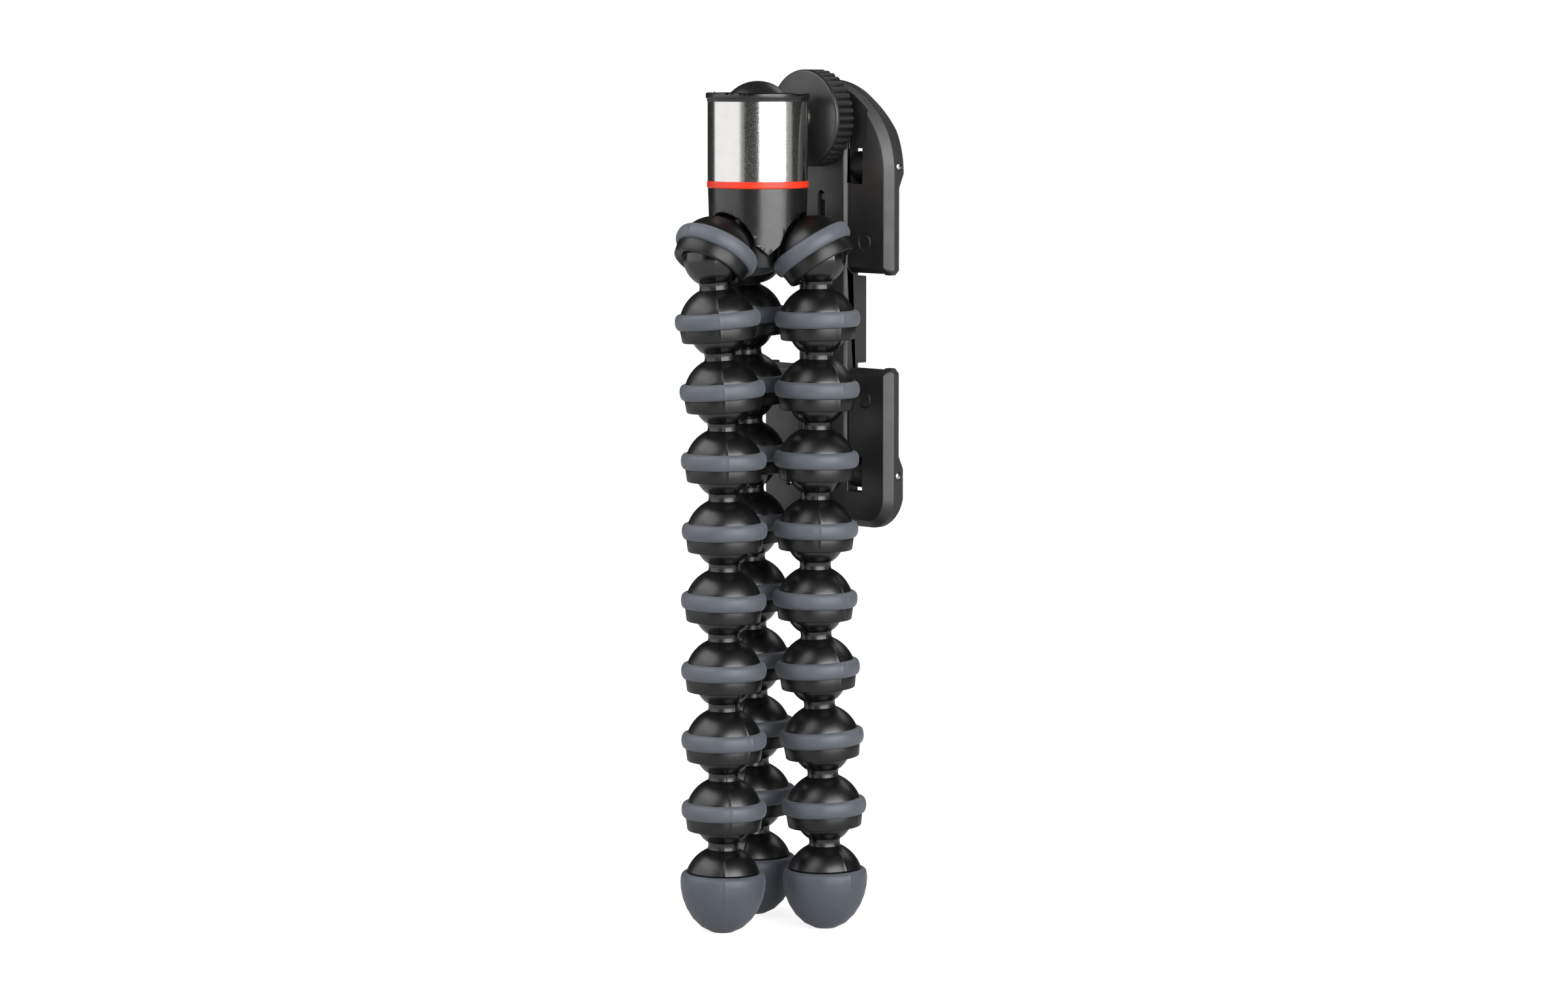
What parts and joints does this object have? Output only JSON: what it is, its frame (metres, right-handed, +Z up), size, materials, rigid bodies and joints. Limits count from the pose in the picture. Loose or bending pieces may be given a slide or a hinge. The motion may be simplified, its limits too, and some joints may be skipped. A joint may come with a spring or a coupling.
{
  "type": "flexible leg tripod",
  "caption": "Small camera tripod with bendable ball-jointed legs, a steel-banded ball head and a folding sprung phone clamp hanging beside it.",
  "frame": {"origin": "on the floor under the middle of the head, between the three feet", "axes": "+Z up along the folded legs; +X along the ball head's stem, towards the clamp; +Y across the clamp"},
  "size_m": [0.0435, 0.0387, 0.1695],
  "materials": {
    "link_plastic": "gloss black",
    "satin_plastic": "satin black",
    "grip_rubber": "satin blue-grey",
    "hidden_steel": "plain",
    "trim_red": "satin red",
    "brushed_steel": "brushed",
    "bearing_plastic": "natural",
    "wheel_plastic": "satin black",
    "clamp_plastic": "fine texture",
    "insert_brass": "turned",
    "pin_steel": "bright"
  },
  "bodies": {
    "hub": {"hub_cover": "satin_plastic", "hub_core": "link_plastic", "shoulder_rings": "grip_rubber", "hub_screw": "hidden_steel", "trim_ring": "trim_red", "steel_band": "brushed_steel", "head_socket": "satin_plastic", "friction_cup": "bearing_plastic", "friction_spring": "hidden_steel"},
    "ball": {"head_ball": "link_plastic", "camera_stud": "hidden_steel"},
    "wheel": {"locking_wheel": "wheel_plastic"},
    "clamp": {"upper_jaw": "clamp_plastic", "thread_insert": "insert_brass", "phone_rest_pad": "grip_rubber", "upper_hinge_pin": "pin_steel", "return_springs": "hidden_steel"},
    "slider": {"lower_jaw": "clamp_plastic", "lower_hinge_pin": "pin_steel"},
    "upper_flap": {"upper_flap": "clamp_plastic", "upper_flap_pads": "grip_rubber"},
    "lower_flap": {"lower_flap": "clamp_plastic", "lower_flap_pads": "grip_rubber"},
    "leg_a_1": {"leg_a_link_1": "link_plastic"},
    "leg_a_2": {"leg_a_link_2": "link_plastic"},
    "leg_a_3": {"leg_a_link_3": "link_plastic"},
    "leg_a_4": {"leg_a_link_4": "link_plastic"},
    "leg_a_5": {"leg_a_link_5": "link_plastic"},
    "leg_a_6": {"leg_a_link_6": "link_plastic"},
    "leg_a_7": {"leg_a_link_7": "link_plastic"},
    "leg_a_8": {"leg_a_link_8": "link_plastic"},
    "leg_a_foot": {"leg_a_foot_link": "link_plastic", "leg_a_foot_pad": "grip_rubber"},
    "leg_b_1": {"leg_b_link_1": "link_plastic"},
    "leg_b_2": {"leg_b_link_2": "link_plastic"},
    "leg_b_3": {"leg_b_link_3": "link_plastic"},
    "leg_b_4": {"leg_b_link_4": "link_plastic"},
    "leg_b_5": {"leg_b_link_5": "link_plastic"},
    "leg_b_6": {"leg_b_link_6": "link_plastic"},
    "leg_b_7": {"leg_b_link_7": "link_plastic"},
    "leg_b_8": {"leg_b_link_8": "link_plastic"},
    "leg_b_foot": {"leg_b_foot_link": "link_plastic", "leg_b_foot_pad": "grip_rubber"},
    "leg_c_1": {"leg_c_link_1": "link_plastic"},
    "leg_c_2": {"leg_c_link_2": "link_plastic"},
    "leg_c_3": {"leg_c_link_3": "link_plastic"},
    "leg_c_4": {"leg_c_link_4": "link_plastic"},
    "leg_c_5": {"leg_c_link_5": "link_plastic"},
    "leg_c_6": {"leg_c_link_6": "link_plastic"},
    "leg_c_7": {"leg_c_link_7": "link_plastic"},
    "leg_c_8": {"leg_c_link_8": "link_plastic"},
    "leg_c_foot": {"leg_c_foot_link": "link_plastic", "leg_c_foot_pad": "grip_rubber"}
  },
  "joints": [
    {"name": "head_tilt", "type": "hinge", "parent": "hub", "child": "ball", "pos_m": [0, 0, 0.1599], "axis": [0, 1, 0], "range_deg": [-115, 0]},
    {"name": "wheel_turn", "type": "hinge", "parent": "ball", "child": "wheel", "pos_m": [0, 0, 0.1599], "axis": [1, 0, 0], "continuous": true},
    {"name": "clamp_turn", "type": "hinge", "parent": "ball", "child": "clamp", "pos_m": [0, 0, 0.1599], "axis": [1, 0, 0], "continuous": true},
    {"name": "jaw_slide", "type": "slide", "parent": "clamp", "child": "slider", "axis": [0, 0, -1], "range_m": [0, 0.035], "stiffness_N_per_m": 120, "springref_m": -0.02, "deforming": ["return_springs"]},
    {"name": "upper_flap_fold", "type": "hinge", "parent": "clamp", "child": "upper_flap", "pos_m": [0.02105, 0, 0.1505], "axis": [0, -1, 0], "range_deg": [0, 90]},
    {"name": "lower_flap_fold", "type": "hinge", "parent": "slider", "child": "lower_flap", "pos_m": [0.02105, 0, 0.0894], "axis": [0, 1, 0], "range_deg": [0, 90]},
    {"name": "leg_a_hip", "type": "hinge", "parent": "hub", "child": "leg_a_1", "pos_m": [-0.012, 0, 0.133], "axis": [0, 1, 0], "range_deg": [0, 71]},
    {"name": "leg_a_bend_2", "type": "hinge", "parent": "leg_a_1", "child": "leg_a_2", "pos_m": [-0.01119, -0.00072, 0.11924], "axis": [0, 1, 0], "range_deg": [0, 36]},
    {"name": "leg_a_bend_3", "type": "hinge", "parent": "leg_a_2", "child": "leg_a_3", "pos_m": [-0.01054, -0.00129, 0.10547], "axis": [0, 1, 0], "range_deg": [0, 36]},
    {"name": "leg_a_bend_4", "type": "hinge", "parent": "leg_a_3", "child": "leg_a_4", "pos_m": [-0.01043, -0.00139, 0.09167], "axis": [0, -1, 0], "range_deg": [-36, 0]},
    {"name": "leg_a_bend_5", "type": "hinge", "parent": "leg_a_4", "child": "leg_a_5", "pos_m": [-0.01032, -0.00148, 0.07787], "axis": [0, -1, 0], "range_deg": [-36, 0]},
    {"name": "leg_a_bend_6", "type": "hinge", "parent": "leg_a_5", "child": "leg_a_6", "pos_m": [-0.0105, -0.00132, 0.06407], "axis": [0, -1, 0], "range_deg": [-36, 0]},
    {"name": "leg_a_bend_7", "type": "hinge", "parent": "leg_a_6", "child": "leg_a_7", "pos_m": [-0.01047, -0.00136, 0.05027], "axis": [0, -1, 0], "range_deg": [-36, 0]},
    {"name": "leg_a_bend_8", "type": "hinge", "parent": "leg_a_7", "child": "leg_a_8", "pos_m": [-0.01047, -0.00136, 0.03647], "axis": [0, -1, 0], "range_deg": [-36, 0]},
    {"name": "leg_a_bend_9", "type": "hinge", "parent": "leg_a_8", "child": "leg_a_foot", "pos_m": [-0.01047, -0.00136, 0.02267], "axis": [0, -1, 0], "range_deg": [-36, 0]},
    {"name": "leg_b_hip", "type": "hinge", "parent": "hub", "child": "leg_b_1", "pos_m": [0.006, -0.01039, 0.133], "axis": [-0.9613, -0.2756, 0], "range_deg": [0, 71]},
    {"name": "leg_b_bend_2", "type": "hinge", "parent": "leg_b_1", "child": "leg_b_2", "pos_m": [0.00618, -0.01055, 0.1192], "axis": [-0.9613, -0.2756, 0], "range_deg": [0, 36]},
    {"name": "leg_b_bend_3", "type": "hinge", "parent": "leg_b_2", "child": "leg_b_3", "pos_m": [0.00609, -0.01047, 0.1054], "axis": [-0.9613, -0.2756, 0], "range_deg": [0, 36]},
    {"name": "leg_b_bend_4", "type": "hinge", "parent": "leg_b_3", "child": "leg_b_4", "pos_m": [0.006, -0.01039, 0.0916], "axis": [0.9613, 0.2756, 0], "range_deg": [-36, 0]},
    {"name": "leg_b_bend_5", "type": "hinge", "parent": "leg_b_4", "child": "leg_b_5", "pos_m": [0.00591, -0.01031, 0.0778], "axis": [0.9613, 0.2756, 0], "range_deg": [-36, 0]},
    {"name": "leg_b_bend_6", "type": "hinge", "parent": "leg_b_5", "child": "leg_b_6", "pos_m": [0.00582, -0.01023, 0.064], "axis": [0.9613, 0.2756, 0], "range_deg": [-36, 0]},
    {"name": "leg_b_bend_7", "type": "hinge", "parent": "leg_b_6", "child": "leg_b_7", "pos_m": [0.00625, -0.01062, 0.05022], "axis": [0.9613, 0.2756, 0], "range_deg": [-36, 0]},
    {"name": "leg_b_bend_8", "type": "hinge", "parent": "leg_b_7", "child": "leg_b_8", "pos_m": [0.00686, -0.01116, 0.03644], "axis": [0.9613, 0.2756, 0], "range_deg": [-36, 0]},
    {"name": "leg_b_bend_9", "type": "hinge", "parent": "leg_b_8", "child": "leg_b_foot", "pos_m": [0.00723, -0.01148, 0.02265], "axis": [0.9613, 0.2756, 0], "range_deg": [-36, 0]},
    {"name": "leg_c_hip", "type": "hinge", "parent": "hub", "child": "leg_c_1", "pos_m": [0.006, 0.01039, 0.133], "axis": [0.9613, -0.2756, 0], "range_deg": [0, 71]},
    {"name": "leg_c_bend_2", "type": "hinge", "parent": "leg_c_1", "child": "leg_c_2", "pos_m": [0.00618, 0.01023, 0.1192], "axis": [0.9613, -0.2756, 0], "range_deg": [0, 36]},
    {"name": "leg_c_bend_3", "type": "hinge", "parent": "leg_c_2", "child": "leg_c_3", "pos_m": [0.00636, 0.01007, 0.1054], "axis": [0.9613, -0.2756, 0], "range_deg": [0, 36]},
    {"name": "leg_c_bend_4", "type": "hinge", "parent": "leg_c_3", "child": "leg_c_4", "pos_m": [0.00654, 0.00991, 0.09161], "axis": [-0.9613, 0.2756, 0], "range_deg": [-36, 0]},
    {"name": "leg_c_bend_5", "type": "hinge", "parent": "leg_c_4", "child": "leg_c_5", "pos_m": [0.00672, 0.00975, 0.07781], "axis": [-0.9613, 0.2756, 0], "range_deg": [-36, 0]},
    {"name": "leg_c_bend_6", "type": "hinge", "parent": "leg_c_5", "child": "leg_c_6", "pos_m": [0.0069, 0.00959, 0.06401], "axis": [-0.9613, 0.2756, 0], "range_deg": [-36, 0]},
    {"name": "leg_c_bend_7", "type": "hinge", "parent": "leg_c_6", "child": "leg_c_7", "pos_m": [0.00708, 0.00944, 0.05021], "axis": [-0.9613, 0.2756, 0], "range_deg": [-36, 0]},
    {"name": "leg_c_bend_8", "type": "hinge", "parent": "leg_c_7", "child": "leg_c_8", "pos_m": [0.00726, 0.00928, 0.03642], "axis": [-0.9613, 0.2756, 0], "range_deg": [-36, 0]},
    {"name": "leg_c_bend_9", "type": "hinge", "parent": "leg_c_8", "child": "leg_c_foot", "pos_m": [0.00744, 0.00912, 0.02262], "axis": [-0.9613, 0.2756, 0], "range_deg": [-36, 0]}
  ]
}
